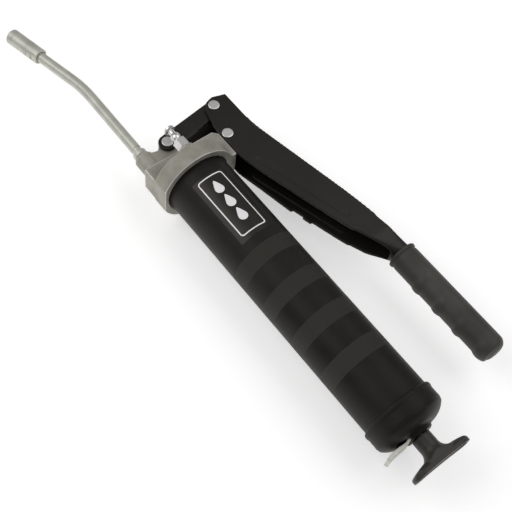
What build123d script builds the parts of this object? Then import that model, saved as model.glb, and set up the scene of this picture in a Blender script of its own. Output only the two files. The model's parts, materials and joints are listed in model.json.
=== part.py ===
"""Lever grease gun. Millimetres.

The origin is on the barrel's axis, at the rear face of the head. +X runs rearward along the barrel, +Y points
from the barrel to the lever, and +Z is up as the gun lies on its side. Pins and the linkage lie along Z."""
from build123d import *
from math import cos, radians, sin
import os

os.makedirs("parts", exist_ok=True)

# ---- driving dimensions ----
BARREL_R = 28.5
BARREL_WALL = 1.2
BARREL_END = 254.0
RING_R = 35.5
RING_LENGTH = 16.0
THREAD_DEPTH = 12.0
BLOCK_FRONT = -29.0
BLOCK_TOP = 38.4
BLOCK_HALF = 12.0
HEAD_BOTTOM = -33.0
PLUNGER_X = -20.0
PLUNGER_R = 4.0
OUTLET_Y = -22.7
OUTLET_R = 8.2
OUTLET_FRONT = -48.4
VALVE_SEAT = -30.0
TUBE_R = 4.65
TUBE_BORE_R = 2.2
TUBE_START = -40.0
TUBE_BEND_START = -124.0
TUBE_BEND_R = 110.0
TUBE_BEND = 13.0
TUBE_TAIL = 47.0
COUPLER_LENGTH = 36.4
COUPLER_R = 7.0
TUBE_ENGAGED = 9.0
PIN_R = 3.5
PIN_HEAD_R = 5.0
RUNNING = 0.06
LINK_PIN = (-42.5, -1.0)
LEVER_PIN = (-50.2, 52.3)
PLUNGER_PIN = (PLUNGER_X, 44.0)
LINK_HALF_WIDTH = 7.65
LINK_INNER = 7.1
LINK_PLATE = 3.0
LEVER_INNER = 10.5
LEVER_PLATE = 2.5
LEVER_OUTER = LEVER_INNER + LEVER_PLATE
LUG_HALF = 6.8
GRIP_Y = 92.3
GRIP_START = 147.0
GRIP_END = 254.4
GRIP_R = 12.0
STEM_R = 9.25
STEM_START = 147.0
STEM_END = 249.0
NIPPLE_Y = 1.8
NIPPLE_Z = 22.0
CAP_START = 242.0
CAP_R = 30.1
CAP_WALL = 1.3
BOSS_R = 12.4
BOSS_END = 267.5
ROD_R = 4.0
HANDLE_START = 267.9
HANDLE_BACK = 291.4
HANDLE_STEM_R = 7.9
SEAT_FRONT = 258.0
SEAT_THICK = 1.6


def ring(plane, inner, outer, start, end):
    """A plain ring or washer round the plane's x axis."""
    with BuildPart() as piece:
        with BuildSketch(plane):
            with BuildLine():
                Polyline((start, inner), (start, outer), (end, outer), (end, inner), close=True)
            make_face()
        revolve(axis=Axis(plane.origin, plane.x_dir))
    return piece


def coil(plane, radius, wire_r, length, turns):
    """A coil spring along the plane's normal, from its origin."""
    with BuildPart() as piece:
        with BuildLine() as line:
            Helix(length / turns, length, radius, center=plane.origin, direction=plane.z_dir)
        with BuildSketch(Plane(origin=line.line @ 0, z_dir=line.line % 0)):
            Circle(wire_r)
        sweep(path=line.line)
    return piece


def pin(centre, start, end, head, head_start):
    """A cross pin along Z with one flat round head, chamfered at the head's rim."""
    with BuildPart() as piece:
        with BuildSketch(Plane.XY.offset(start)):
            with Locations(centre):
                Circle(PIN_R)
        extrude(amount=end - start)
        with BuildSketch(Plane.XY.offset(head_start)):
            with Locations(centre):
                Circle(PIN_HEAD_R)
        extrude(amount=head)
        chamfer(piece.faces().sort_by(Axis.Z)[-1].edges(), 0.35)
    return piece


def clip(centre, low):
    """A snap ring on a pin's tail."""
    with BuildPart() as piece:
        with BuildSketch(Plane.XY.offset(low)):
            with Locations(centre):
                Circle(PIN_HEAD_R)
                Circle(PIN_R, mode=Mode.SUBTRACT)
        extrude(amount=1.0)
        with BuildSketch(Plane.XY.offset(low)):
            with Locations((centre[0], centre[1] - PIN_HEAD_R + 0.5)):
                Rectangle(2.6, 3.4)
        extrude(amount=1.0, mode=Mode.SUBTRACT)
    return piece


# ---- frame of the bent delivery tube and its coupler ----
bend = radians(TUBE_BEND)
bend_end = (TUBE_BEND_START - TUBE_BEND_R * sin(bend), OUTLET_Y - TUBE_BEND_R * (1 - cos(bend)))
tube_dir = (-cos(bend), -sin(bend))
tube_end = (bend_end[0] + TUBE_TAIL * tube_dir[0], bend_end[1] + TUBE_TAIL * tube_dir[1])
coupler_rear = (tube_end[0] - TUBE_ENGAGED * tube_dir[0], tube_end[1] - TUBE_ENGAGED * tube_dir[1])
# x runs from the coupler's rear end to its nose, and y points to the coupler's lever side
COUPLER = Plane(origin=(*coupler_rear, 0), x_dir=(*tube_dir, 0), z_dir=(0, 0, -1))
COUPLER_AXIS = Axis(COUPLER.origin, COUPLER.x_dir)
OUTLET = Plane(origin=(0, OUTLET_Y, 0), x_dir=(1, 0, 0), z_dir=(0, 0, 1))
NIPPLE = Plane(origin=(0, NIPPLE_Y, NIPPLE_Z), x_dir=(1, 0, 0), z_dir=(0, 0, 1))

# ---- head casting: barrel ring, pump block, link lug, outlet boss and nipple boss ----
with BuildPart() as head_casting:
    with BuildSketch(Plane.YZ):
        Circle(RING_R)
    extrude(amount=-RING_LENGTH)
    fillet(head_casting.faces().sort_by(Axis.X)[0].edges(), 3.0)
    with BuildSketch(Plane.XY.offset(-BLOCK_HALF)):
        with BuildLine():
            Polyline(
                (0, 20), (0, BLOCK_TOP), (BLOCK_FRONT + 4.6, BLOCK_TOP), (BLOCK_FRONT, BLOCK_TOP - 4.2),
                (BLOCK_FRONT, HEAD_BOTTOM), (0, HEAD_BOTTOM), close=True,
            )
        make_face()
    extrude(amount=2 * BLOCK_HALF)
    # rib that carries the link's lower pin and runs down into the outlet boss
    with BuildSketch(Plane.XY.offset(-LUG_HALF)):
        with BuildLine():
            Polyline(
                (BLOCK_FRONT + 1, 11), (-41.0, 6.2), (-49.6, -2.6), (-47.2, -6.7), (-42.2, -10.6),
                (-42.2, -12.6),
                (-43.6, -17.2), (-43.6, OUTLET_Y), (BLOCK_FRONT + 1, OUTLET_Y), close=True,
            )
        make_face()
        with Locations(LINK_PIN):
            Circle(7.3)
    extrude(amount=2 * LUG_HALF)
    with BuildSketch(OUTLET):
        with BuildLine():
            Polyline(
                (BLOCK_FRONT + 1, 0), (BLOCK_FRONT + 1, OUTLET_R), (-45.2, OUTLET_R),
                (OUTLET_FRONT, OUTLET_R - 2.2), (OUTLET_FRONT, 0), close=True,
            )
        make_face()
    revolve(axis=Axis(OUTLET.origin, OUTLET.x_dir))
    with BuildSketch(NIPPLE):
        with BuildLine():
            Polyline((-8, 0), (-8, 7.2), (-20.5, 7.2), (-22, 6.0), (-22, 0), close=True)
        make_face()
    revolve(axis=Axis(NIPPLE.origin, NIPPLE.x_dir))
    # flat on the underside, square to the pump bore
    with BuildSketch(Plane.XZ.offset(-HEAD_BOTTOM)):
        Rectangle(120, 120)
    extrude(amount=20, mode=Mode.SUBTRACT)
    # barrel socket, the shallow grease chamber in front of it, and the bright turned lip
    with BuildSketch(Plane.YZ):
        Circle(BARREL_R + 0.1)
    extrude(amount=-THREAD_DEPTH, mode=Mode.SUBTRACT)
    with BuildSketch(Plane.YZ.offset(-THREAD_DEPTH)):
        Circle(20)
    extrude(amount=-2, mode=Mode.SUBTRACT)
    with BuildSketch(Plane.YZ.offset(-1.4)):
        Circle(BARREL_R + 0.1)
    extrude(amount=1.4, taper=-42, mode=Mode.SUBTRACT)
    # pump bore with its seal recess, intake port, outlet passage, valve chamber and tube socket
    with BuildSketch(Plane.XZ.offset(-BLOCK_TOP)):
        with Locations((PLUNGER_X, 0)):
            Circle(PLUNGER_R + RUNNING)
    extrude(amount=BLOCK_TOP + 27, mode=Mode.SUBTRACT)
    with BuildSketch(Plane.XZ.offset(-BLOCK_TOP)):
        with Locations((PLUNGER_X, 0)):
            Circle(6.2)
    extrude(amount=3.2, mode=Mode.SUBTRACT)
    with BuildSketch(Plane.YZ.offset(PLUNGER_X)):
        with Locations((2.5, 0)):
            Circle(2.4)
    extrude(amount=8, mode=Mode.SUBTRACT)
    with BuildSketch(OUTLET):
        with BuildLine():
            Polyline(
                (PLUNGER_X, 0), (PLUNGER_X, 2.4), (VALVE_SEAT, 2.4), (VALVE_SEAT, 4.2), (TUBE_START, 4.2),
                (TUBE_START, TUBE_R + 0.05), (OUTLET_FRONT - 1, TUBE_R + 0.05), (OUTLET_FRONT - 1, 0),
                close=True,
            )
        make_face()
    revolve(axis=Axis(OUTLET.origin, OUTLET.x_dir), mode=Mode.SUBTRACT)
    # link pin hole, and the nipple's tapped hole into the grease chamber
    with BuildSketch(Plane.XY.offset(-LUG_HALF)):
        with Locations(LINK_PIN):
            Circle(PIN_R + RUNNING)
    extrude(amount=2 * LUG_HALF, mode=Mode.SUBTRACT)
    with BuildSketch(NIPPLE):
        with BuildLine():
            Polyline((-23, 0), (-23, 3.6), (-15, 3.6), (-15, 1.6), (-10, 1.6), (-10, 0), close=True)
        make_face()
    revolve(axis=Axis(NIPPLE.origin, NIPPLE.x_dir), mode=Mode.SUBTRACT)
head_casting.part.label = "head_casting"
export_step(head_casting.part, "parts/head_casting.step")

# ---- barrel, its front gasket and the wrapped label ----
barrel_tube = ring(Plane.XY, BARREL_R - BARREL_WALL, BARREL_R, -THREAD_DEPTH + 1.5, BARREL_END)
barrel_tube.part.label = "barrel_tube"
export_step(barrel_tube.part, "parts/barrel_tube.step")

barrel_gasket = ring(Plane.XY, 25.5, BARREL_R, -THREAD_DEPTH, -THREAD_DEPTH + 1.5)
barrel_gasket.part.label = "barrel_gasket"
export_step(barrel_gasket.part, "parts/barrel_gasket.step")

LABEL_START, LABEL_END = 12.5, 77.5
LABEL_FROM, LABEL_SWEEP = 66.0, 60.0
with BuildPart() as barrel_label:
    with BuildSketch(Plane.XY.rotated((LABEL_FROM, 0, 0))):
        with BuildLine():
            Polyline(
                (LABEL_START, BARREL_R), (LABEL_END, BARREL_R), (LABEL_END, BARREL_R + 0.15),
                (LABEL_START, BARREL_R + 0.15), close=True,
            )
        make_face()
    revolve(axis=Axis.X, revolution_arc=LABEL_SWEEP)
barrel_label.part.label = "barrel_label"
export_step(barrel_label.part, "parts/barrel_label.step")

# ---- end cap: rolled rim, skirt, stepped dome and a hollow boss with a window for the release lever ----
with BuildPart() as end_cap:
    with BuildSketch(Plane.XY):
        with BuildLine():
            skirt = Polyline(
                (CAP_START, BARREL_R + 0.1), (CAP_START, CAP_R), (CAP_START + 1, CAP_R + 0.6),
                (CAP_START + 3, CAP_R + 0.6), (CAP_START + 4.2, CAP_R), (255.3, CAP_R), (255.6, CAP_R - 0.4),
                (257.7, CAP_R - 0.7), (258.1, CAP_R - 1.2),
            )
            dome = ThreePointArc(skirt @ 1, (261.6, 24.6), (264.2, 16.6))
            boss = Polyline(
                dome @ 1, (264.6, BOSS_R + 1.0), (265.4, BOSS_R), (BOSS_END - 0.8, BOSS_R - 0.5),
                (BOSS_END, BOSS_R - 1.4), (BOSS_END, ROD_R + RUNNING), (BOSS_END - 1.2, ROD_R + RUNNING),
                (BOSS_END - 1.2, BOSS_R - CAP_WALL - 0.2), (263.2, BOSS_R - CAP_WALL),
                (262.9, 16.4),
            )
            inside = ThreePointArc(boss @ 1, (260.5, 23.6), (SEAT_FRONT + SEAT_THICK, 25.2))
            Polyline(
                inside @ 1, (SEAT_FRONT, 25.2), (SEAT_FRONT, 26.6), (256.6, 27.9),
                (BARREL_END + 0.1, BARREL_R + 0.1), skirt @ 0,
            )
        make_face()
    revolve(axis=Axis.X)
    with BuildSketch(Plane.XY.offset(-7.2)):
        with BuildLine():
            Polyline((262.2, -9), (262.2, -19.5), (269, -19.5), (269, -9), close=True)
        make_face()
    extrude(amount=14.4, mode=Mode.SUBTRACT)
end_cap.part.label = "end_cap"
export_step(end_cap.part, "parts/end_cap.step")

spring_seat = ring(Plane.XY, ROD_R + 0.3, 25.0, SEAT_FRONT, SEAT_FRONT + SEAT_THICK)
spring_seat.part.label = "spring_seat"
export_step(spring_seat.part, "parts/spring_seat.step")

# ---- delivery tube, its collar, and the outlet check valve ----
with BuildPart() as delivery_tube:
    with BuildLine() as route:
        straight = Line((TUBE_START - 0.2, OUTLET_Y), (TUBE_BEND_START, OUTLET_Y))
        arc = RadiusArc(straight @ 1, bend_end, -TUBE_BEND_R)
        Line(arc @ 1, tube_end)
    with BuildSketch(Plane(origin=straight @ 0, z_dir=straight % 0)):
        Circle(TUBE_R)
        Circle(TUBE_BORE_R, mode=Mode.SUBTRACT)
    sweep(path=route.line)
    # rolled groove in front of the collar
    with BuildSketch(OUTLET):
        with BuildLine():
            Polyline(
                (-56.6, TUBE_R - 0.4), (-56.6, TUBE_R + 1), (-54.0, TUBE_R + 1), (-54.0, TUBE_R - 0.4),
                close=True,
            )
        make_face()
    revolve(axis=Axis(OUTLET.origin, OUTLET.x_dir), mode=Mode.SUBTRACT)
delivery_tube.part.label = "delivery_tube"
export_step(delivery_tube.part, "parts/delivery_tube.step")

with BuildPart() as tube_collar:
    with BuildSketch(OUTLET):
        with BuildLine():
            Polyline(
                (OUTLET_FRONT, TUBE_R + 0.05), (OUTLET_FRONT, 6.0), (OUTLET_FRONT - 3.6, 6.0),
                (OUTLET_FRONT - 4.6, 5.2), (OUTLET_FRONT - 4.6, TUBE_R + 0.05), close=True,
            )
        make_face()
    revolve(axis=Axis(OUTLET.origin, OUTLET.x_dir))
tube_collar.part.label = "tube_collar"
export_step(tube_collar.part, "parts/tube_collar.step")

BALL_R = 3.0
BALL_X = VALVE_SEAT - 2.0
with BuildPart() as outlet_ball:
    with Locations((BALL_X, OUTLET_Y, 0)):
        Sphere(BALL_R)
outlet_ball.part.label = "outlet_ball"
export_step(outlet_ball.part, "parts/outlet_ball.step")

OUTLET_SPRING_WIRE = 0.35
outlet_spring = coil(
    Plane(origin=(TUBE_START + 0.1 + OUTLET_SPRING_WIRE, OUTLET_Y, 0), x_dir=(0, 1, 0), z_dir=(1, 0, 0)),
    2.6, OUTLET_SPRING_WIRE, BALL_X - BALL_R - TUBE_START - 0.2 - 2 * OUTLET_SPRING_WIRE, 4,
)
outlet_spring.part.label = "outlet_spring"
export_step(outlet_spring.part, "parts/outlet_spring.step")

# ---- coupler: rear body with wrench flats, nose sleeve, jaws, seal and jaw spring ----
SLEEVE_START = 14.0
CORE_R = 5.6
JAW_FRONT = COUPLER_LENGTH - 5.0
with BuildPart() as coupler_body:
    with BuildSketch(COUPLER):
        with BuildLine():
            Polyline(
                (0, TUBE_R + 0.9), (0, COUPLER_R - 0.5), (0.5, COUPLER_R), (SLEEVE_START, COUPLER_R),
                (SLEEVE_START, CORE_R - 0.1), (SLEEVE_START + 5, CORE_R - 0.1),
                (SLEEVE_START + 5, TUBE_BORE_R),
                (TUBE_ENGAGED + 0.2, TUBE_BORE_R), (TUBE_ENGAGED + 0.2, TUBE_R + 0.05), (1.8, TUBE_R + 0.05),
                (1.8, TUBE_R + 0.9), close=True,
            )
        make_face()
    revolve(axis=COUPLER_AXIS)
    # two pairs of wrench flats with a land between them
    for start, end in ((1.6, 6.2), (7.6, 12.6)):
        for side in (-1, 1):
            with BuildSketch(COUPLER):
                with BuildLine():
                    Polyline(
                        (start, side * (COUPLER_R - 0.75)), (end, side * (COUPLER_R - 0.75)),
                        (end, side * (COUPLER_R + 1)), (start, side * (COUPLER_R + 1)), close=True,
                    )
                make_face()
            extrude(amount=COUPLER_R, both=True, mode=Mode.SUBTRACT)
coupler_body.part.label = "coupler_body"
export_step(coupler_body.part, "parts/coupler_body.step")

MOUTH_R = 3.5
with BuildPart() as coupler_sleeve:
    with BuildSketch(COUPLER):
        with BuildLine():
            Polyline(
                (SLEEVE_START + 0.2, CORE_R), (SLEEVE_START + 0.2, COUPLER_R),
                (COUPLER_LENGTH - 6.4, COUPLER_R),
                (COUPLER_LENGTH - 6.2, COUPLER_R - 0.25), (COUPLER_LENGTH - 5.8, COUPLER_R - 0.25),
                (COUPLER_LENGTH - 5.6, COUPLER_R), (COUPLER_LENGTH - 1.2, COUPLER_R),
                (COUPLER_LENGTH, COUPLER_R - 1.2), (COUPLER_LENGTH, MOUTH_R + 0.6),
                (COUPLER_LENGTH - 0.6, MOUTH_R), (JAW_FRONT, MOUTH_R), (JAW_FRONT, CORE_R), close=True,
            )
        make_face()
    revolve(axis=COUPLER_AXIS)
coupler_sleeve.part.label = "coupler_sleeve"
export_step(coupler_sleeve.part, "parts/coupler_sleeve.step")

JAW_TRAVEL = 1.5
JAW_BACK = JAW_FRONT - 6.2
with BuildPart() as coupler_jaws:
    with BuildSketch(COUPLER):
        with BuildLine():
            Polyline(
                (JAW_BACK, 3.4), (JAW_BACK, CORE_R - 0.35), (JAW_FRONT - 0.3, CORE_R - 0.35),
                (JAW_FRONT - 0.3, 3.2), close=True,
            )
        make_face()
    revolve(axis=COUPLER_AXIS)
    # two crossed saw cuts leave four separate jaws
    for turn in (45, -45):
        with BuildSketch(Plane(COUPLER.origin, COUPLER.x_dir, COUPLER.z_dir.rotate(COUPLER_AXIS, turn))):
            with Locations((JAW_BACK + 3, 0)):
                Rectangle(10, 2 * CORE_R + 2)
        extrude(amount=0.5, both=True, mode=Mode.SUBTRACT)
coupler_jaws.part.label = "coupler_jaws"
export_step(coupler_jaws.part, "parts/coupler_jaws.step")

coupler_seal = ring(COUPLER, TUBE_BORE_R, 3.0, SLEEVE_START + 5.1, SLEEVE_START + 7.4)
coupler_seal.part.label = "coupler_seal"
export_step(coupler_seal.part, "parts/coupler_seal.step")

JAW_WIRE = 0.4
jaw_spring_start = COUPLER.origin + COUPLER.x_dir * (SLEEVE_START + 5.1 + JAW_WIRE)
coupler_spring = coil(
    Plane(origin=jaw_spring_start, x_dir=(0, 0, 1), z_dir=COUPLER.x_dir),
    4.4, JAW_WIRE, JAW_BACK - SLEEVE_START - 5.2 - 2 * JAW_WIRE, 4,
)
coupler_spring.part.label = "coupler_spring"
export_step(coupler_spring.part, "parts/coupler_spring.step")

# ---- filler nipple with its check ball and spring ----
with BuildPart() as filler_nipple:
    with BuildSketch(Plane.YZ.offset(-22)):
        with Locations((NIPPLE_Y, NIPPLE_Z)):
            RegularPolygon(5.5, 6, major_radius=False)
    extrude(amount=-8)
    with BuildSketch(NIPPLE):
        with BuildLine():
            Polyline(
                (-22, 6.4), (-22.4, 7.4), (-29.6, 7.4), (-30.1, 5.6), (-30.1, 9), (-21.9, 9), (-21.9, 6.4),
                close=True,
            )
        make_face()
    revolve(axis=Axis(NIPPLE.origin, NIPPLE.x_dir), mode=Mode.SUBTRACT)
    with BuildSketch(NIPPLE):
        with BuildLine():
            shank = Polyline(
                (-16.5, 0), (-16.5, 3.55), (-22, 3.55), (-30, 3.55), (-30, 4.5), (-31.2, 4.5), (-31.6, 3.2),
            )
            ball = ThreePointArc(shank @ 1, (-35.2, 4.2), (-38.6, 2.6))
            Polyline(
                ball @ 1, (-42.4, 2.6), (-42.8, 4.3), (-43.2, 4.7), (-44.8, 4.7), (-45.4, 4.0), (-45.4, 0),
                shank @ 0,
            )
        make_face()
    revolve(axis=Axis(NIPPLE.origin, NIPPLE.x_dir))
    with BuildSketch(NIPPLE):
        with BuildLine():
            Polyline(
                (-46, 0), (-46, 1.3), (-41.5, 1.3), (-41.5, 1.1), (-39.5, 1.1), (-38.9, 1.9), (-22, 1.9),
                (-22, 1.2), (-16, 1.2), (-16, 0), close=True,
            )
        make_face()
    revolve(axis=Axis(NIPPLE.origin, NIPPLE.x_dir), mode=Mode.SUBTRACT)
filler_nipple.part.label = "filler_nipple"
export_step(filler_nipple.part, "parts/filler_nipple.step")

FILLER_BALL_R = 1.5
FILLER_BALL_X = -37.8
with BuildPart() as filler_ball:
    with Locations((FILLER_BALL_X, NIPPLE_Y, NIPPLE_Z)):
        Sphere(FILLER_BALL_R)
filler_ball.part.label = "filler_ball"
export_step(filler_ball.part, "parts/filler_ball.step")

filler_spring = coil(
    Plane(
        origin=(FILLER_BALL_X + FILLER_BALL_R + 0.3, NIPPLE_Y, NIPPLE_Z), x_dir=(0, 1, 0), z_dir=(1, 0, 0),
    ),
    1.45, 0.22, 11.5, 9,
)
filler_spring.part.label = "filler_spring"
export_step(filler_spring.part, "parts/filler_spring.step")

# ---- plunger, with the slotted eye for the lever's rear pin, and its seal ----
EYE_SLOT = 1.9
with BuildPart() as plunger:
    with BuildSketch(Plane.XZ.offset(18)):
        with Locations((PLUNGER_X, 0)):
            Circle(PLUNGER_R)
    extrude(amount=-(18 + 40))
    chamfer(plunger.faces().sort_by(Axis.Y)[0].edges(), 0.5)
    with BuildSketch(Plane.XY.offset(-6)):
        with BuildLine():
            left = Line((PLUNGER_X - 8.5, 39.0), (PLUNGER_X - 8.5, 45))
            ThreePointArc(left @ 1, (PLUNGER_X, 53.5), (PLUNGER_X + 8.5, 45))
            Polyline((PLUNGER_X + 8.5, 45), (PLUNGER_X + 8.5, 39.0), left @ 0)
        make_face()
    extrude(amount=12)
    with BuildSketch(Plane.XY.offset(-6)):
        with Locations(PLUNGER_PIN):
            SlotCenterToCenter(2 * EYE_SLOT, 2 * (PIN_R + 0.35))
    extrude(amount=12, mode=Mode.SUBTRACT)
plunger.part.label = "plunger"
export_step(plunger.part, "parts/plunger.step")

PUMP = Plane(origin=(PLUNGER_X, 0, 0), x_dir=(0, 1, 0), z_dir=(0, 0, 1))
plunger_seal = ring(PUMP, PLUNGER_R + RUNNING, 6.1, BLOCK_TOP - 3.1, BLOCK_TOP - 0.3)
plunger_seal.part.label = "plunger_seal"
export_step(plunger_seal.part, "parts/plunger_seal.step")

# ---- link: two plates, a spacer between their upper ends, and the lower pin ----
LINK_MIDDLE = ((LINK_PIN[0] + LEVER_PIN[0]) / 2, (LINK_PIN[1] + LEVER_PIN[1]) / 2)


def link_plate(low):
    """One flat link with round ends, holed for both pins."""
    with BuildPart() as piece:
        with BuildSketch(Plane.XY.offset(low)):
            SlotCenterPoint(LINK_MIDDLE, LEVER_PIN, 2 * LINK_HALF_WIDTH)
            with Locations(LINK_PIN):
                Circle(PIN_R, mode=Mode.SUBTRACT)
            with Locations(LEVER_PIN):
                Circle(PIN_R + RUNNING, mode=Mode.SUBTRACT)
        extrude(amount=LINK_PLATE)
        chamfer(piece.faces().filter_by(Axis.Z).edges().filter_by(GeomType.CIRCLE, reverse=True), 0.3)
    return piece


link_near = link_plate(LINK_INNER)
link_near.part.label = "link_near"
export_step(link_near.part, "parts/link_near.step")

link_far = link_plate(-LINK_INNER - LINK_PLATE)
link_far.part.label = "link_far"
export_step(link_far.part, "parts/link_far.step")

with BuildPart() as link_spacer:
    with BuildSketch(Plane.XY.offset(-LINK_INNER)):
        with Locations(LEVER_PIN):
            Circle(6.2)
            Circle(PIN_R + 0.3, mode=Mode.SUBTRACT)
    extrude(amount=2 * LINK_INNER)
link_spacer.part.label = "link_spacer"
export_step(link_spacer.part, "parts/link_spacer.step")

LINK_FACE = LINK_INNER + LINK_PLATE
link_pin = pin(LINK_PIN, -LINK_FACE - 1.4, LINK_FACE, 1.1, LINK_FACE)
link_pin.part.label = "link_pin"
export_step(link_pin.part, "parts/link_pin.step")

link_pin_clip = clip(LINK_PIN, -LINK_FACE - 1.1)
link_pin_clip.part.label = "link_pin_clip"
export_step(link_pin_clip.part, "parts/link_pin_clip.step")

# ---- lever: pressed channel that closes into a round stem, with pressed ribs in both sides ----
NECK = 127.0
TOP_CORNERS = ((-55.0, 68.1), (-18.4, 68.0), (89.0, 90.3), (NECK, 95.6))
TOP_RADII = (130, 600)
LOW_LINE = [
    (NECK, 75.2), (108, 67.4), (90, 61.8), (62, 53.6), (26, 43.6), (4, 38.6), (-32, 38.6), (-50.5, 43.6),
]
NOSE_LINE = [(-56.6, 48.8), (-58.6, 56.0)]
WEB = 2.6
RIB_ENDS = ((16.0, 49.6), (98.0, 74.4))
RIB_MIDDLE = ((RIB_ENDS[0][0] + RIB_ENDS[1][0]) / 2, (RIB_ENDS[0][1] + RIB_ENDS[1][1]) / 2)
RIB_HEIGHT = 0.6
RIB_RECESS = 0.2
with BuildPart() as lever_arm:
    with BuildSketch(Plane.XY.offset(-LEVER_OUTER)):
        with BuildLine():
            top = FilletPolyline(*TOP_CORNERS, radius=TOP_RADII)
            Polyline(top @ 1, *LOW_LINE, *NOSE_LINE, top @ 0)
        make_face()
    extrude(amount=2 * LEVER_OUTER)
    with BuildSketch(Plane.YZ.offset(NECK)):
        with Locations(((95.6 + 75.2) / 2, 0)):
            Rectangle(95.6 - 75.2, 2 * LEVER_OUTER)
    with BuildSketch(Plane.YZ.offset(STEM_START)):
        with Locations((GRIP_Y, 0)):
            Circle(STEM_R)
    loft()
    with BuildSketch(Plane.YZ.offset(STEM_START)):
        with Locations((GRIP_Y, 0)):
            Circle(STEM_R)
    extrude(amount=STEM_END - STEM_START)
    # hollow of the channel, open below, closing up into the bore of the stem
    with BuildSketch(Plane.XY.offset(-LEVER_INNER)):
        with BuildLine():
            under = FilletPolyline(*[(x, y - WEB) for x, y in TOP_CORNERS], radius=TOP_RADII)
            Polyline(under @ 1, (NECK, 30), (-70, 30), (-70, 68.1 - WEB), under @ 0)
        make_face()
    extrude(amount=2 * LEVER_INNER, mode=Mode.SUBTRACT)
    with BuildSketch(Plane.YZ.offset(NECK)):
        with Locations(((95.6 - WEB + 69.0) / 2, 0)):
            Rectangle(95.6 - WEB - 69.0, 2 * LEVER_INNER)
    with BuildSketch(Plane.YZ.offset(STEM_START)):
        with Locations((GRIP_Y, 0)):
            Circle(STEM_R - LEVER_PLATE)
    loft(mode=Mode.SUBTRACT)
    with BuildSketch(Plane.YZ.offset(STEM_START)):
        with Locations((GRIP_Y, 0)):
            Circle(STEM_R - LEVER_PLATE)
    extrude(amount=STEM_END - STEM_START, mode=Mode.SUBTRACT)
    # long ribs pressed inward in both sides
    for side in (-1, 1):
        with BuildSketch(Plane.XY.offset(side * LEVER_INNER)):
            SlotCenterPoint(RIB_MIDDLE, RIB_ENDS[1], 6.4)
        extrude(amount=-side * RIB_HEIGHT)
        with BuildSketch(Plane.XY.offset(side * LEVER_OUTER)):
            SlotCenterPoint(RIB_MIDDLE, RIB_ENDS[1], 5.6)
        extrude(amount=-side * RIB_RECESS, mode=Mode.SUBTRACT)
    # step and small tab on the far side's lower edge
    with BuildSketch(Plane.XY.offset(-LEVER_OUTER)):
        with BuildLine():
            Polyline((28, 44.1), (60, 50.9), (60, 54), (28, 46), close=True)
        make_face()
        with BuildLine():
            Polyline((70.6, 58), (70.6, 54.4), (78.4, 56.6), (78.4, 60), close=True)
        make_face()
    extrude(amount=LEVER_PLATE)
    with BuildSketch(Plane.XY.offset(-LEVER_OUTER)):
        with Locations(LEVER_PIN, PLUNGER_PIN):
            Circle(PIN_R)
    extrude(amount=2 * LEVER_OUTER, mode=Mode.SUBTRACT)
lever_arm.part.label = "lever_arm"
export_step(lever_arm.part, "parts/lever_arm.step")

lever_pin = pin(LEVER_PIN, -LEVER_OUTER - 1.4, LEVER_OUTER, 1.0, LEVER_OUTER)
lever_pin.part.label = "lever_pin"
export_step(lever_pin.part, "parts/lever_pin.step")

plunger_pin = pin(PLUNGER_PIN, -LEVER_OUTER - 1.4, LEVER_OUTER, 1.0, LEVER_OUTER)
plunger_pin.part.label = "plunger_pin"
export_step(plunger_pin.part, "parts/plunger_pin.step")

lever_pin_clips = Compound(
    label="lever_pin_clips",
    children=[clip(LEVER_PIN, -LEVER_OUTER - 1.1).part, clip(PLUNGER_PIN, -LEVER_OUTER - 1.1).part],
)
export_step(lever_pin_clips, "parts/lever_pin_clips.step")

# ---- rubber grip: flange, three finger swells and an end swell on the side facing the barrel ----
GRIP = Plane(origin=(0, GRIP_Y, 0), x_dir=(1, 0, 0), z_dir=(0, 0, 1))
SWELL = 1.3
with BuildPart() as lever_grip:
    with BuildSketch(GRIP):
        with BuildLine():
            flange = Polyline(
                (GRIP_START, 0), (GRIP_START, 12.2), (GRIP_START + 0.5, 12.8), (GRIP_START + 2.3, 12.8),
                (GRIP_START + 2.9, 12.2), (GRIP_START + 3.4, 11.5), (GRIP_START + 4.2, 11.5),
                (GRIP_START + 5.2, GRIP_R), (GRIP_END - 7, GRIP_R),
            )
            crown = ThreePointArc(flange @ 1, (GRIP_END - 1.9, GRIP_R - 2.5), (GRIP_END, 5.5))
            Polyline(crown @ 1, (GRIP_END, 0), flange @ 0)
        make_face()
    revolve(axis=Axis(GRIP.origin, GRIP.x_dir))
    for middle, half in ((177.1, 6.0), (199.7, 6.0), (222.3, 6.0), (245.8, 7.0)):
        swell_plane = Plane(origin=(middle, GRIP_Y - SWELL, 0), x_dir=(1, 0, 0), z_dir=(0, 0, 1))
        with BuildSketch(swell_plane):
            with BuildLine():
                rise = Line((-half, 0), (-half, GRIP_R - 2.2))
                top = ThreePointArc(rise @ 1, (0, GRIP_R), (half, GRIP_R - 2.2))
                Polyline(top @ 1, (half, 0), rise @ 0)
            make_face()
        revolve(axis=Axis(swell_plane.origin, swell_plane.x_dir))
    with BuildSketch(Plane.YZ.offset(GRIP_START)):
        with Locations((GRIP_Y, 0)):
            Circle(STEM_R + 0.05)
    extrude(amount=STEM_END + 0.2 - GRIP_START, mode=Mode.SUBTRACT)
    with BuildSketch(Plane.YZ.offset(STEM_END)):
        with Locations((GRIP_Y, 0)):
            Circle(1.0)
    extrude(amount=10, mode=Mode.SUBTRACT)
lever_grip.part.label = "lever_grip"
export_step(lever_grip.part, "parts/lever_grip.step")

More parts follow.
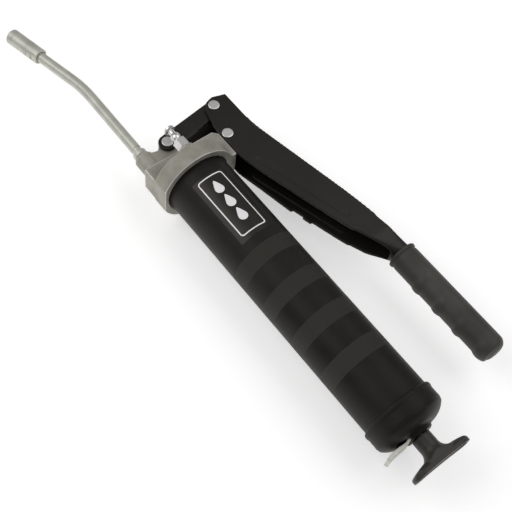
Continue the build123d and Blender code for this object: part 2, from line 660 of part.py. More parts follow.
# ---- follower: rod, piston cup between two washers, nut, spring and pull handle ----
with BuildPart() as follower_rod:
    with BuildSketch(Plane.YZ.offset(-3.5)):
        Circle(ROD_R)
    extrude(amount=285.0 + 3.5)
    chamfer(follower_rod.faces().sort_by(Axis.X)[0].edges(), 0.6)
    with BuildSketch(Plane.XY.offset(-10)):
        with Locations((276, 0)):
            Circle(1.25)
    extrude(amount=15, mode=Mode.SUBTRACT)
follower_rod.part.label = "follower_rod"
export_step(follower_rod.part, "parts/follower_rod.step")

CUP_R = BARREL_R - BARREL_WALL - 0.3
with BuildPart() as follower_cup:
    with BuildSketch(Plane.XY):
        with BuildLine():
            Polyline(
                (5, ROD_R + 0.02), (5, 20), (3.2, 24.0), (0, 25.4), (0, CUP_R - 0.4), (0.8, CUP_R),
                (3.0, CUP_R), (5, CUP_R - 1.0), (10, CUP_R - 1.0), (12, CUP_R), (14.2, CUP_R),
                (15, CUP_R - 0.4), (15, 25.4),
                (11.8, 24.4), (9.5, 24.0), (9, 22), (9, ROD_R + 0.02), close=True,
            )
        make_face()
    revolve(axis=Axis.X)
follower_cup.part.label = "follower_cup"
export_step(follower_cup.part, "parts/follower_cup.step")

follower_washers = Compound(
    label="follower_washers",
    children=[
        ring(Plane.XY, ROD_R + 0.02, 18.0, 3.4, 5.0).part,
        ring(Plane.XY, ROD_R + 0.02, 21.8, 9.0, 11.0).part,
    ],
)
export_step(follower_washers, "parts/follower_washers.step")

with BuildPart() as follower_nut:
    with BuildSketch(Plane.YZ.offset(-2.6)):
        RegularPolygon(6.5, 6, major_radius=False)
        Circle(ROD_R + 0.02, mode=Mode.SUBTRACT)
    extrude(amount=6.0)
follower_nut.part.label = "follower_nut"
export_step(follower_nut.part, "parts/follower_nut.step")

SPRING_WIRE = 1.3
follower_spring = coil(
    Plane(origin=(11.1 + SPRING_WIRE, 0, 0), x_dir=(0, 1, 0), z_dir=(1, 0, 0)),
    19.5, SPRING_WIRE, SEAT_FRONT - 11.2 - 2 * SPRING_WIRE, 13,
)
follower_spring.part.label = "follower_spring"
export_step(follower_spring.part, "parts/follower_spring.step")

HANDLE_HALF = 27.0
HANDLE_WIDTH = 19.0
with BuildPart() as t_handle:
    with BuildSketch(Plane.XY.offset(-HANDLE_WIDTH / 2)):
        with BuildLine():
            upper = Spline(
                (283.4, 0), (284.4, 13.0), (286.4, 22.0), (288.2, HANDLE_HALF - 0.8),
                tangents=((0, 1), (0.6, 1)),
            )
            tip = ThreePointArc(upper @ 1, (289.8, HANDLE_HALF), (291.6, HANDLE_HALF - 2.2))
            Spline(tip @ 1, (HANDLE_BACK - 0.4, 0), (291.6, 2.2 - HANDLE_HALF))
            low_tip = ThreePointArc(
                (291.6, 2.2 - HANDLE_HALF), (289.8, -HANDLE_HALF), (288.2, 0.8 - HANDLE_HALF),
            )
            Spline(low_tip @ 1, (286.4, -22.0), (284.4, -13.0), (283.4, 0), tangents=((-0.6, 1), (0, 1)))
        make_face()
    extrude(amount=HANDLE_WIDTH)
    # thinner towards both long edges, with a shallow dish in the back
    with BuildSketch(Plane.XZ.offset(-30)):
        with BuildLine():
            edge = Polyline((288.3, 9.6), (292.5, 9.6), (292.5, -9.6), (288.3, -9.6))
            ThreePointArc(edge @ 1, (283.2, 0), edge @ 0)
        make_face()
    extrude(amount=60, mode=Mode.INTERSECT)
    with BuildSketch(Plane.YZ.offset(HANDLE_BACK - 1.0)):
        SlotOverall(2 * HANDLE_HALF - 6, HANDLE_WIDTH - 6)
    extrude(amount=3, mode=Mode.SUBTRACT)
    with BuildSketch(Plane.XY):
        with BuildLine():
            stem = Polyline(
                (HANDLE_START, 0), (HANDLE_START, HANDLE_STEM_R - 0.5), (HANDLE_START + 0.5, HANDLE_STEM_R),
                (276.5, HANDLE_STEM_R),
            )
            flare = ThreePointArc(stem @ 1, (281.4, 8.9), (285.0, 14.0))
            Polyline(flare @ 1, (287, 14.0), (287, 0), stem @ 0)
        make_face()
    revolve(axis=Axis.X)
    with BuildSketch(Plane.YZ.offset(HANDLE_START - 1)):
        SlotOverall(2 * HANDLE_HALF, HANDLE_WIDTH)
    extrude(amount=40, mode=Mode.INTERSECT)
    with BuildSketch(Plane.YZ.offset(HANDLE_START)):
        Circle(ROD_R + 0.02)
    extrude(amount=285.1 - HANDLE_START, mode=Mode.SUBTRACT)
    with BuildSketch(Plane.XY.offset(-10)):
        with Locations((276, 0)):
            Circle(1.25)
    extrude(amount=15, mode=Mode.SUBTRACT)
t_handle.part.label = "t_handle"
export_step(t_handle.part, "parts/t_handle.step")

with BuildPart() as handle_pin:
    with BuildSketch(Plane.XY.offset(-7.6)):
        with Locations((276, 0)):
            Circle(1.24)
    extrude(amount=12.4)
handle_pin.part.label = "handle_pin"
export_step(handle_pin.part, "parts/handle_pin.step")

# ---- rod release: a cranked steel plate round the rod in the cap's boss, and its spring ----
RELEASE_HALF = 6.3
RELEASE_PIVOT = (264.8, 7.6)
RELEASE_EDGE = 1.1
with BuildPart() as release_lever:
    with BuildSketch(Plane.XY.offset(-RELEASE_HALF)):
        with BuildLine():
            plate = Polyline(
                (263.7, RELEASE_PIVOT[1]), (263.7, -8.8), (265.4, -13.8), (265.0, -23.5), (265.5, -28.6),
                (266.8, -33.4), (269.9, -32.4), (268.7, -28.2), (268.2, -23.5), (267.8, -13.2), (265.9, -8.2),
                (265.9, RELEASE_PIVOT[1]),
            )
            ThreePointArc(plate @ 1, (RELEASE_PIVOT[0], RELEASE_PIVOT[1] + RELEASE_EDGE), plate @ 0)
        make_face()
    extrude(amount=2 * RELEASE_HALF)
    with BuildSketch(Plane.YZ.offset(262)):
        Circle(ROD_R + 0.6)
    extrude(amount=6, mode=Mode.SUBTRACT)
    with BuildSketch(Plane.YZ.offset(260)):
        with BuildLine():
            Polyline((-36, 7), (-36, 4.2), (-33, 7), close=True)
        make_face()
        with BuildLine():
            Polyline((-36, -7), (-36, -4.2), (-33, -7), close=True)
        make_face()
    extrude(amount=12, mode=Mode.SUBTRACT)
release_lever.part.label = "release_lever"
export_step(release_lever.part, "parts/release_lever.step")

RELEASE_WIRE = 0.45
release_spring = coil(
    Plane(origin=(SEAT_FRONT + SEAT_THICK + 0.1 + RELEASE_WIRE, 0, 0), x_dir=(0, 1, 0), z_dir=(1, 0, 0)),
    5.6, RELEASE_WIRE, 263.6 - SEAT_FRONT - SEAT_THICK - 0.1 - 2 * RELEASE_WIRE, 2.5,
)
release_spring.part.label = "release_spring"
export_step(release_spring.part, "parts/release_spring.step")
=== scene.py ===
"""Lever grease gun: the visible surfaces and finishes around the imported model.

The barrel's axis is X, with the head at x = 0 and the pull handle at the +X end. The lever lies on the +Y
side and +Z is up. Lengths in this file are in metres, and MM turns millimetres into metres."""
import json
from math import cos, pi, radians, sin, tau

import bmesh
import bpy
from bpy.props import FloatProperty, FloatVectorProperty, IntProperty, PointerProperty
from mathutils import Matrix, Vector


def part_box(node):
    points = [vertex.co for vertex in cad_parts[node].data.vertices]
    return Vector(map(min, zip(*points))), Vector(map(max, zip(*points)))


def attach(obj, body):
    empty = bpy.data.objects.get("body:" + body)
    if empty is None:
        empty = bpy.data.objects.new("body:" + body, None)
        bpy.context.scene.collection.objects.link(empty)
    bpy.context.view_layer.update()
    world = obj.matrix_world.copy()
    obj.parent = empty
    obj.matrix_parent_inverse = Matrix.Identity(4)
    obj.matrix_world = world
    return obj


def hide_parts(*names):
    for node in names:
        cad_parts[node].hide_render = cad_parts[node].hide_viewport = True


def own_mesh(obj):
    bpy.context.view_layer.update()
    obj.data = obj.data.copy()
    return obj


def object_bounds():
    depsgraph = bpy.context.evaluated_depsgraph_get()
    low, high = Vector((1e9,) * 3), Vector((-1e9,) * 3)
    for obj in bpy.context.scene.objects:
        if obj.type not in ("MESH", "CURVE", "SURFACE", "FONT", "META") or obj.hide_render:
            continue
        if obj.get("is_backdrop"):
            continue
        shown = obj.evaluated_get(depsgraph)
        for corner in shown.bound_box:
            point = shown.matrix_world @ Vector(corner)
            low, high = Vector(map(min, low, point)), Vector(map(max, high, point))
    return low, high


bl_info = {
    "name": "Grease gun",
    "version": (1, 0, 0),
    "blender": (4, 5, 0),
    "location": "View3D > Sidebar > Grease gun",
    "description": "Lever grease gun with a cast head, a banded black barrel and a pressed steel lever",
    "category": "Object",
}

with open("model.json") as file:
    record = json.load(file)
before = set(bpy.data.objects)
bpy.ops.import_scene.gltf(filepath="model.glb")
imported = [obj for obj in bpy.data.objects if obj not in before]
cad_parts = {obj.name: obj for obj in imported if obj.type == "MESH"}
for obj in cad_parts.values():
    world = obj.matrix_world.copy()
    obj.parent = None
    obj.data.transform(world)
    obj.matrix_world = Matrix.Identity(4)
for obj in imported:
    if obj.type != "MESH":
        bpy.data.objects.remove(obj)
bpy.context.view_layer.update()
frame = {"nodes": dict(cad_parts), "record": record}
MM = 0.001
WARM = (1.0, 0.93, 0.84, 1.0)

SLOT_OF = {part["node"]: part["material_slot"] for part in frame["record"]["subparts"]}
BODY_OF = {node: body for body, nodes in frame["record"]["behaviour"]["bodies"].items() for node in nodes}
BARREL_LOW, BARREL_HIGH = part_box("barrel_tube")
BARREL_R = (BARREL_HIGH.z - BARREL_LOW.z) / 2
LABEL_LOW, LABEL_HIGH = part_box("barrel_label")

# voxel size and smoothing passes that round the edges of each formed piece
ROUNDING = {
    "end_cap": (0.5 * MM, 3),
    "release_lever": (0.3 * MM, 3),
    "t_handle": (0.5 * MM, 5),
    "lever_grip": (0.5 * MM, 3),
    "link_near": (0.45 * MM, 2),
    "link_far": (0.45 * MM, 2),
}
PIN_ROUNDING = (0.3 * MM, 4)
# the stretch along X where the lever's channel is blended into its stem, and the passes for it
NECK_BLEND = (112 * MM, 146 * MM, 30)

BEND = radians(13)

BORDER_INSET = (1.8 * MM, 4.5 * MM)
BORDER_TURN = (radians(70.0), radians(118.0))
DROP_R = 3.9 * MM
DROP_LENGTH = 8.6 * MM
DROP_PITCH = 15.0 * MM
PRINT_LIFT = 0.02 * MM
PRINT_THICKNESS = 0.05 * MM

FLOOR_HALF = 6.0
FLOOR_GAP = 0.02 * MM
CAMERA_PLACE = (0.3426, -0.2802, 0.6363)
CAMERA_RIGHT = Vector((0.6150, 0.7836, 0.0876))
CAMERA_DOWN = Vector((0.7054, -0.4971, -0.5053))


# ---------------------------------------------------------------- node helpers

class Graph:
    """Adds nodes to a node tree, with inputs given by name as values or as sockets to link."""

    def __init__(self, tree):
        self.tree = tree

    def add(self, kind, inputs=None, **settings):
        node = self.tree.nodes.new(kind)
        for key, value in settings.items():
            setattr(node, key, value)
        for key, value in (inputs or {}).items():
            socket = node.inputs[key]
            if isinstance(value, bpy.types.NodeSocket):
                self.tree.links.new(value, socket)
            else:
                socket.default_value = value
        return node

    def math(self, operation, first, second=0.0, third=0.0):
        node = self.add("ShaderNodeMath", {0: first, 1: second, 2: third}, operation=operation)
        return node.outputs[0]

    def mix(self, factor, first, second):
        node = self.add("ShaderNodeMix", {0: factor, 6: first, 7: second}, data_type="RGBA")
        return node.outputs[2]

    def remap(self, value, low, high, new_low, new_high):
        inputs = {"Value": value, "From Min": low, "From Max": high, "To Min": new_low, "To Max": new_high}
        return self.add("ShaderNodeMapRange", inputs).outputs[0]

    def noise(self, vector, scale, detail=3.0, roughness=0.5):
        inputs = {"Vector": vector, "Scale": scale, "Detail": detail, "Roughness": roughness}
        return self.add("ShaderNodeTexNoise", inputs).outputs["Fac"]


def new_group(name, inputs, outputs):
    """An empty node group with float inputs, given with their defaults, and the named float outputs."""
    tree = bpy.data.node_groups.new(name, "ShaderNodeTree")
    for label, default in inputs.items():
        socket = tree.interface.new_socket(label, in_out="INPUT", socket_type="NodeSocketFloat")
        socket.default_value = default
    for label in outputs:
        tree.interface.new_socket(label, in_out="OUTPUT", socket_type="NodeSocketFloat")
    graph = Graph(tree)
    return graph, graph.add("NodeGroupInput").outputs, graph.add("NodeGroupOutput").inputs


def link_outputs(graph, sockets, values):
    for label, value in values.items():
        graph.tree.links.new(value, sockets[label])


# ---------------------------------------------------------------- shared effects

def grain_group():
    """Fine and broad variation of a surface, from its Object coordinates."""
    graph, given, result = new_group("Grain", {"Fine Scale": 1500.0, "Broad Scale": 60.0}, ("Fine", "Broad"))
    place = graph.add("ShaderNodeTexCoord").outputs["Object"]
    fine = graph.noise(place, given["Fine Scale"], 4.0, 0.6)
    broad = graph.noise(place, given["Broad Scale"], 3.0, 0.55)
    link_outputs(graph, result, {"Fine": fine, "Broad": broad})
    return graph.tree


def wear_group():
    """Rubbed edges: where Edge is high, broken up by noise."""
    defaults = {"Edge": 0.5, "Start": 0.53, "Width": 0.03, "Scale": 400.0}
    graph, given, result = new_group("Edge Wear", defaults, ("Mask",))
    place = graph.add("ShaderNodeTexCoord").outputs["Object"]
    rough = graph.noise(place, given["Scale"], 5.0, 0.6)
    shift = graph.math("MULTIPLY", graph.math("SUBTRACT", rough, 0.5), given["Width"])
    height = graph.math("SUBTRACT", graph.math("ADD", given["Edge"], shift), given["Start"])
    mask = graph.add("ShaderNodeClamp", {"Value": graph.math("DIVIDE", height, given["Width"])}).outputs[0]
    link_outputs(graph, result, {"Mask": mask})
    return graph.tree


def speck_group():
    """Small scattered dust specks and pinholes."""
    graph, given, result = new_group("Specks", {"Scale": 300.0, "Size": 0.06}, ("Mask",))
    place = graph.add("ShaderNodeTexCoord").outputs["Object"]
    cells = graph.add("ShaderNodeTexVoronoi", {"Vector": place, "Scale": given["Scale"]})
    dots = graph.math("LESS_THAN", cells.outputs["Distance"], given["Size"])
    patches = graph.math("GREATER_THAN", graph.noise(place, 90.0, 2.0), 0.56)
    link_outputs(graph, result, {"Mask": graph.math("MULTIPLY", dots, patches)})
    return graph.tree


def band_group():
    """Grip bands round the barrel: their mask along X, and a fine diamond pattern on them."""
    defaults = {
        "Start": 86 * MM, "Width": 14.5 * MM, "Pitch": 34.6 * MM, "Count": 4.0,
        "Radius": BARREL_R, "Step": 1.4 * MM,
    }
    graph, given, result = new_group("Grip Bands", defaults, ("Mask", "Diamonds"))
    place = graph.add("ShaderNodeTexCoord").outputs["Object"]
    axes = graph.add("ShaderNodeSeparateXYZ", {"Vector": place}).outputs
    along = graph.math("SUBTRACT", axes["X"], given["Start"])
    inside = graph.math("LESS_THAN", graph.math("MODULO", along, given["Pitch"]), given["Width"])
    after = graph.math("GREATER_THAN", along, 0.0)
    before = graph.math("LESS_THAN", along, graph.math("MULTIPLY", given["Pitch"], given["Count"]))
    mask = graph.math("MULTIPLY", graph.math("MULTIPLY", inside, after), before)
    around = graph.math("MULTIPLY", graph.math("ARCTAN2", axes["Z"], axes["Y"]), given["Radius"])
    wave = graph.math("DIVIDE", tau, given["Step"])
    first = graph.math("SINE", graph.math("MULTIPLY", graph.math("ADD", along, around), wave))
    second = graph.math("SINE", graph.math("MULTIPLY", graph.math("SUBTRACT", along, around), wave))
    diamonds = graph.math("MULTIPLY", graph.math("MULTIPLY", first, second), mask)
    link_outputs(graph, result, {"Mask": mask, "Diamonds": diamonds})
    return graph.tree


def turned_group():
    """Faint lines of a lathe tool, square to the X axis."""
    graph, given, result = new_group("Turned Lines", {"Scale": 2500.0, "Stretch": 0.02}, ("Lines",))
    place = graph.add("ShaderNodeTexCoord").outputs["Object"]
    axes = graph.add("ShaderNodeSeparateXYZ", {"Vector": place}).outputs
    squeezed = graph.add("ShaderNodeCombineXYZ", {
        "X": axes["X"],
        "Y": graph.math("MULTIPLY", axes["Y"], given["Stretch"]),
        "Z": graph.math("MULTIPLY", axes["Z"], given["Stretch"]),
    }).outputs[0]
    link_outputs(graph, result, {"Lines": graph.noise(squeezed, given["Scale"], 2.0)})
    return graph.tree


GROUPS = {
    "grain": grain_group(),
    "wear": wear_group(),
    "specks": speck_group(),
    "bands": band_group(),
    "turned": turned_group(),
}


# ---------------------------------------------------------------- finishes

class Finish(Graph):
    """A material with one Principled shader, built on the shared effects."""

    def __init__(self, name, **constants):
        self.material = bpy.data.materials.new(name)
        self.material.use_nodes = True
        super().__init__(self.material.node_tree)
        self.shader = self.tree.nodes["Principled BSDF"]
        for key, value in constants.items():
            self.shader.inputs[key.replace("_", " ").title().replace("Ior", "IOR")].default_value = value

    def effect(self, group, **inputs):
        node = self.add("ShaderNodeGroup", node_tree=GROUPS[group])
        for key, value in inputs.items():
            socket = node.inputs[key.replace("_", " ").title()]
            if isinstance(value, bpy.types.NodeSocket):
                self.tree.links.new(value, socket)
            else:
                socket.default_value = value
        return node.outputs

    def drive(self, socket, value):
        self.tree.links.new(value, self.shader.inputs[socket])

    def bump(self, height, distance, strength=1.0):
        inputs = {"Height": height, "Distance": distance, "Strength": strength}
        self.drive("Normal", self.add("ShaderNodeBump", inputs).outputs[0])

    def edge(self):
        return self.add("ShaderNodeNewGeometry").outputs["Pointiness"]


def cast_metal(name, light, dark, bare):
    """Sprayed die casting: warm grey, finely pitted, with rubbed bright edges that are partly real wear and
    partly a painted highlight along the edges.
    """
    finish = Finish(name, metallic=0.25)
    grain = finish.effect("grain", fine_scale=3400.0, broad_scale=70.0)
    # bare colour on convex edges: partly rubbed wear, partly a painted highlight where the edges catch the
    # light
    wear = finish.effect("wear", edge=finish.edge(), start=0.512, width=0.02, scale=500.0)["Mask"]
    specks = finish.effect("specks", scale=420.0, size=0.09)["Mask"]
    tone = finish.mix(finish.remap(grain["Broad"], 0.35, 0.65, 0.0, 1.0), light, dark)
    grainy = finish.mix(finish.remap(grain["Fine"], 0.35, 0.7, 0.0, 0.35), tone, dark)
    pitted = finish.mix(specks, grainy, (*[channel * 0.35 for channel in dark[:3]], 1.0))
    finish.drive("Base Color", finish.mix(wear, pitted, bare))
    finish.drive("Roughness", finish.math("SUBTRACT", finish.remap(grain["Fine"], 0.3, 0.7, 0.46, 0.62),
                                          finish.math("MULTIPLY", wear, 0.2)))
    finish.bump(finish.math("SUBTRACT", grain["Fine"], specks), 0.00012, 0.6)
    return finish.material


def black_paint(name, colour, bands):
    """Semi-gloss black paint; on the barrel it carries the matte grip bands, whose diamond peaks get a
    painted highlight.
    """
    finish = Finish(name, specular_ior_level=0.16, specular_tint=WARM)
    grain = finish.effect("grain", fine_scale=900.0, broad_scale=28.0)
    specks = finish.effect("specks", scale=260.0, size=0.045)["Mask"]
    worn = (*[channel * 1.9 for channel in colour[:3]], 1.0)
    tone = finish.mix(finish.remap(grain["Broad"], 0.35, 0.7, 0.0, 0.6), colour, worn)
    dusty = finish.mix(finish.math("MULTIPLY", specks, 0.5), tone, (0.16, 0.15, 0.14, 1.0))
    rough = finish.remap(grain["Broad"], 0.3, 0.7, 0.42, 0.5)
    height = finish.math("MULTIPLY", grain["Fine"], 0.12)
    if bands:
        band = finish.effect("bands", radius=BARREL_R)
        matte = (*[channel * 2.5 for channel in colour[:3]], 1.0)
        dusty = finish.mix(band["Mask"], dusty, matte)
        # painted highlight: the raised diamond peaks of the bands are painted a lighter grey
        knurl_peak_highlight = finish.math("MULTIPLY", finish.math("GREATER_THAN", band["Diamonds"], 0.35), 0.55)
        dusty = finish.mix(knurl_peak_highlight, dusty, (0.075, 0.07, 0.065, 1.0))
        rough = finish.math("ADD", rough, finish.math("MULTIPLY", band["Mask"], 0.12))
        height = finish.math("ADD", height, finish.math("MULTIPLY", band["Diamonds"], 0.5))
    finish.drive("Base Color", dusty)
    finish.drive("Roughness", rough)
    finish.bump(height, 0.00015, 0.5)
    return finish.material


def satin_black(name, colour, bare):
    """Thin satin black on pressed steel, rubbed on its edges."""
    finish = Finish(name, specular_ior_level=0.36, specular_tint=WARM)
    grain = finish.effect("grain", fine_scale=1800.0, broad_scale=22.0)
    wear = finish.effect("wear", edge=finish.edge(), start=0.56, width=0.035, scale=260.0)["Mask"]
    specks = finish.effect("specks", scale=200.0, size=0.05)["Mask"]
    lighter = (*[channel * 1.6 for channel in colour[:3]], 1.0)
    tone = finish.mix(finish.remap(grain["Broad"], 0.35, 0.7, 0.0, 1.0), colour, lighter)
    dusty = finish.mix(finish.math("MULTIPLY", specks, 0.6), tone, (0.12, 0.115, 0.11, 1.0))
    finish.drive("Base Color", finish.mix(finish.math("MULTIPLY", wear, 0.55), dusty, bare))
    finish.drive("Roughness", finish.remap(grain["Fine"], 0.3, 0.7, 0.36, 0.48))
    finish.bump(grain["Fine"], 0.00005, 0.5)
    return finish.material


def plated_steel(name, colour, shade, roughness, lines=0.5, metallic=1.0):
    """Plated or bare steel with faint turned lines and cloudy plating."""
    finish = Finish(name, metallic=metallic)
    grain = finish.effect("grain", fine_scale=1400.0, broad_scale=90.0)
    turned = finish.effect("turned", scale=3200.0)["Lines"]
    cloud = finish.remap(grain["Broad"], 0.35, 0.65, 0.0, 1.0)
    finish.drive("Base Color", finish.mix(cloud, colour, shade))
    finish.drive("Roughness", finish.remap(grain["Fine"], 0.3, 0.7, roughness * 0.85, roughness * 1.2))
    finish.bump(finish.math("ADD", finish.math("MULTIPLY", turned, lines), grain["Fine"]), 0.00003, 0.6)
    return finish.material


def soft_rubber(name, colour, roughness):
    """Matte rubber with a faint bloom and a fine skin."""
    finish = Finish(name, specular_ior_level=0.35, specular_tint=WARM)
    grain = finish.effect("grain", fine_scale=2200.0, broad_scale=45.0)
    bloom = (*[channel * 1.5 for channel in colour[:3]], 1.0)
    finish.drive("Base Color", finish.mix(finish.remap(grain["Broad"], 0.35, 0.7, 0.0, 1.0), colour, bloom))
    finish.drive("Roughness", finish.remap(grain["Fine"], 0.3, 0.7, roughness - 0.06, roughness + 0.06))
    finish.bump(grain["Fine"], 0.00006, 0.6)
    return finish.material


def moulded_plastic(name, colour, roughness):
    """Spark-textured moulded plastic."""
    finish = Finish(name, specular_ior_level=0.4, specular_tint=WARM)
    grain = finish.effect("grain", fine_scale=1700.0, broad_scale=70.0)
    lighter = (*[channel * 1.35 for channel in colour[:3]], 1.0)
    finish.drive("Base Color", finish.mix(grain["Broad"], colour, lighter))
    finish.drive("Roughness", finish.remap(grain["Fine"], 0.3, 0.7, roughness - 0.05, roughness + 0.08))
    finish.bump(grain["Fine"], 0.00009, 0.7)
    return finish.material


def grey(level, warmth=0.0):
    return (level * (1 + warmth), level, level * (1 - warmth), 1.0)


def make_finishes():
    """A material for each of the record's slots, and more for the banded barrel, bare steel and the print."""
    look = bpy.context.scene.grease_gun_look
    shaded = (*[channel * 0.72 for channel in look.casting], 1)
    return {
        # the third colour, bare metal on the edges, is also the painted highlight along them
        "cast_head": cast_metal("cast_head", (*look.casting, 1), shaded, grey(0.70, 0.02)),
        "black_paint": black_paint("black_paint", (*look.paint, 1), bands=False),
        "banded_paint": black_paint("banded_paint", (*look.paint, 1), bands=True),
        "satin_black": satin_black("satin_black", (*look.lever, 1), grey(0.14)),
        "zinc_steel": plated_steel(
            "zinc_steel", (0.68, 0.68, 0.61, 1), (0.57, 0.57, 0.51, 1), 0.45, metallic=0.4),
        "bare_steel": plated_steel("bare_steel", grey(0.95, 0.01), grey(0.84, 0.015), 0.36),
        "dark_steel": plated_steel("dark_steel", grey(0.13), grey(0.08), 0.42),
        "bright_steel": plated_steel("bright_steel", grey(0.68), grey(0.60), 0.16, lines=0.2),
        "spring_steel": plated_steel("spring_steel", grey(0.16), grey(0.11), 0.34, lines=0.0),
        "grip_rubber": soft_rubber("grip_rubber", (*look.rubber, 1), 0.56),
        "seal_rubber": soft_rubber("seal_rubber", grey(0.008), 0.5),
        "handle_plastic": moulded_plastic("handle_plastic", (*[c * 0.7 for c in look.rubber], 1), 0.44),
        "label_film": moulded_plastic("label_film", (*look.paint, 1), 0.38),
        "white_print": moulded_plastic("white_print", grey(0.95), 0.45),
    }


FINISHES = {}


def finish_for(slot):
    """The material of a slot, built the first time that one is asked for."""
    if not FINISHES:
        FINISHES.update(make_finishes())
    return FINISHES[slot]


# ---------------------------------------------------------------- mesh helpers

def place(mesh_name, bm, node, slot, material=None, smooth_angle=40.0):
    """Makes a finished mesh into a piece that rides with a node's body and takes a slot's finish."""
    mesh = bpy.data.meshes.new(mesh_name)
    bm.to_mesh(mesh)
    bm.free()
    piece = bpy.data.objects.new(mesh_name, mesh)
    bpy.context.scene.collection.objects.link(piece)
    mesh.materials.append(finish_for(material or slot))
    mesh.shade_smooth()
    if smooth_angle:
        mesh.set_sharp_from_angle(angle=radians(smooth_angle))
    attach(piece, BODY_OF[node])
    return piece


def merged_copy(node):
    """The node's mesh with its loose triangles joined."""
    bm = bmesh.new()
    bm.from_mesh(frame["nodes"][node].data)
    bmesh.ops.remove_doubles(bm, verts=bm.verts, dist=1e-6)
    bmesh.ops.dissolve_degenerate(bm, edges=bm.edges, dist=1e-6)
    return bm


def smooth_verts(bm, verts, passes):
    for _ in range(passes):
        bmesh.ops.smooth_vert(bm, verts=verts, factor=0.5, use_axis_x=True, use_axis_y=True, use_axis_z=True)


def softened(node, voxel, passes, material=None, formed=None):
    """A formed or cast piece: the node's shape remeshed and smoothed, so that its edges are rounded as made.

    formed = (low, high, passes) blends the stretch between two x positions more than the rest."""
    mesh = bpy.data.meshes.new(node + "_shape")
    bm = merged_copy(node)
    bm.to_mesh(mesh)
    bm.free()
    shape = bpy.data.objects.new(node + "_shape", mesh)
    bpy.context.scene.collection.objects.link(shape)
    remesh = shape.modifiers.new("Remesh", "REMESH")
    remesh.mode = "VOXEL"
    remesh.voxel_size = voxel
    graph = bpy.context.evaluated_depsgraph_get()
    bm = bmesh.new()
    bm.from_object(shape, graph)
    bpy.data.objects.remove(shape)
    bpy.data.meshes.remove(mesh)
    smooth_verts(bm, bm.verts, passes)
    if formed:
        low, high, more = formed
        smooth_verts(bm, [v for v in bm.verts if low < v.co.x < high], more)
    piece = place(node + "_surface", bm, node, SLOT_OF[node], material, smooth_angle=None)
    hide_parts(node)
    return piece


def sprung(node, push):
    """A coil spring, copied from its node to ride with the node's body. push, the direction of its fixed end,
    is not used.
    """
    push = Vector(push).normalized()
    bm = merged_copy(node)
    piece = place(node + "_coil", bm, node, SLOT_OF[node])
    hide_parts(node)
    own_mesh(piece)


def finish_nodes(*nodes, material=None):
    """Gives CAD nodes that are already the right shape their materials."""
    for node in nodes:
        data = frame["nodes"][node].data
        data.materials.clear()
        data.materials.append(finish_for(material or SLOT_OF[node]))


# ---------------------------------------------------------------- settings

class GreaseGunSizes(bpy.types.PropertyGroup):
    """Sizes that shape the visible surfaces."""

    cast_voxel: FloatProperty(
        name="Casting voxel", description="Grid that rounds the casting's edges",
        default=0.55 * MM, unit="LENGTH")
    cast_passes: IntProperty(
        name="Casting passes", description="Smoothing passes on the casting", default=2, min=0)
    lever_voxel: FloatProperty(
        name="Lever voxel", description="Grid that rounds the pressed lever's edges",
        default=0.65 * MM, unit="LENGTH")
    lever_passes: IntProperty(
        name="Lever passes", description="Smoothing passes on the lever", default=2, min=0)
    border_line: FloatProperty(
        name="Border line", description="Width of the label's printed border",
        default=1.0 * MM, unit="LENGTH")
    border_radius: FloatProperty(
        name="Border corner", description="Corner radius of the printed border",
        default=2.6 * MM, unit="LENGTH")


class GreaseGunLook(bpy.types.PropertyGroup):
    """Colours that a user would change."""

    casting: FloatVectorProperty(
        name="Casting", description="Sprayed colour of the head", subtype="COLOR",
        default=(0.46, 0.44, 0.375))
    paint: FloatVectorProperty(
        name="Paint", description="Barrel and cap paint", subtype="COLOR", default=(0.0150, 0.0138, 0.0122))
    lever: FloatVectorProperty(
        name="Lever", description="Lever and link finish", subtype="COLOR", default=(0.0125, 0.0116, 0.0105))
    rubber: FloatVectorProperty(
        name="Rubber", description="Grip rubber", subtype="COLOR", default=(0.055, 0.052, 0.048))
    lens: FloatProperty(name="Lens", description="Camera focal length in millimetres", default=66.36)


# ---------------------------------------------------------------- pieces

class GREASEGUN_OT_head(bpy.types.Operator):
    """Cast head with rounded edges and blended corners"""

    bl_idname = "greasegun.head"
    bl_label = "Cast head"

    def execute(self, context):
        sizes = context.scene.grease_gun_sizes
        softened("head_casting", sizes.cast_voxel, sizes.cast_passes)
        return {"FINISHED"}


class GREASEGUN_OT_barrel(bpy.types.Operator):
    """Barrel with its grip bands, gasket and label film"""

    bl_idname = "greasegun.barrel"
    bl_label = "Barrel"

    def execute(self, context):
        finish_nodes("barrel_tube", material="banded_paint")
        finish_nodes("barrel_gasket", "barrel_label")
        return {"FINISHED"}


def rounded_loop(bm, centre, half, radius, steps=6, run=24):
    """A closed loop of edges round a rounded rectangle lying in the label's flat layout."""
    points = []
    for number, (sx, sy) in enumerate(((1, 1), (-1, 1), (-1, -1), (1, -1))):
        corner = Vector((centre.x + sx * (half.x - radius), centre.y + sy * (half.y - radius)))
        for step in range(steps + 1):
            turn = pi / 2 * (number + step / steps)
            points.append(corner + Vector((cos(turn), sin(turn))) * radius)
        next_x, next_y = ((-1, 1), (-1, -1), (1, -1), (1, 1))[number]
        goal = Vector((centre.x + next_x * (half.x - radius), centre.y + next_y * (half.y - radius)))
        goal += Vector((cos(turn), sin(turn))) * radius
        start = points[-1]
        points += [start.lerp(goal, part / run) for part in range(1, run)]
    corners = [bm.verts.new((p.x, p.y, 0)) for p in points]
    return [bm.edges.new(pair) for pair in zip(corners, corners[1:] + corners[:1])]


